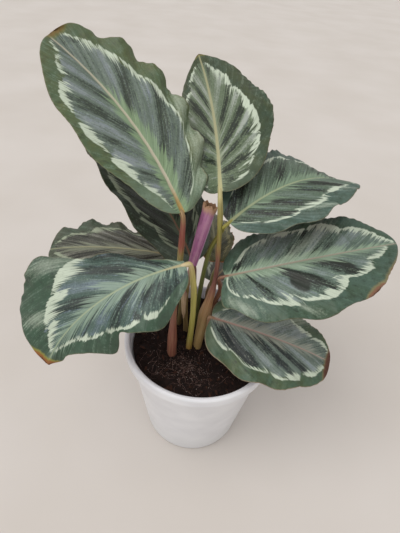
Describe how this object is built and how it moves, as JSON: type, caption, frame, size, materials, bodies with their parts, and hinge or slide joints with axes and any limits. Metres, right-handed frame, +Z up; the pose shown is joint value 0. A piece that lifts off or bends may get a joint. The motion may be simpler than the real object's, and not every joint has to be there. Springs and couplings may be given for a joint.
{
  "type": "potted calathea",
  "caption": "Potted prayer plant with broad patterned leaves on thin stalks, one leaf still rolled, in soil in a round tapered plastic pot with a thick rim.",
  "frame": {"origin": "centre of the flat underside of the pot, on the surface that it stands on", "axes": "+Z up along the pot's axis, -Y towards the plant's front, +X to the right seen from the front"},
  "size_m": [0.2754, 0.1966, 0.3346],
  "materials": {
    "pot_plastic": "satin white, slightly translucent",
    "soil": "moist, crumbly and fibrous",
    "leaf": "satin, dark green with a pale feathered ring, purple underside",
    "red_stalk": "satin",
    "olive_stalk": "satin",
    "green_stalk": "satin",
    "tan_stalk": "satin",
    "mauve_leaf": "satin",
    "dry_sheath": "dry and papery"
  },
  "bodies": {
    "root": {"pot": "pot_plastic", "soil": "soil", "blade_upper_left": "leaf", "petiole_upper_left": "red_stalk", "blade_upper_middle": "leaf", "petiole_upper_middle": "olive_stalk", "blade_upper_right": "leaf", "petiole_upper_right": "green_stalk", "blade_middle_right": "leaf", "petiole_middle_right": "tan_stalk", "blade_lower_right": "leaf", "petiole_lower_right": "tan_stalk", "blade_front_left": "leaf", "petiole_front_left": "green_stalk", "blade_back_left": "leaf", "petiole_back_left": "green_stalk", "blade_shaded": "leaf", "petiole_shaded": "tan_stalk", "blade_rear": "leaf", "petiole_rear": "green_stalk", "blade_rear_low": "leaf", "petiole_rear_low": "green_stalk", "rolled_leaf": "mauve_leaf", "petiole_rolled_leaf": "tan_stalk", "dry_sheath": "dry_sheath"}
  },
  "joints": []
}
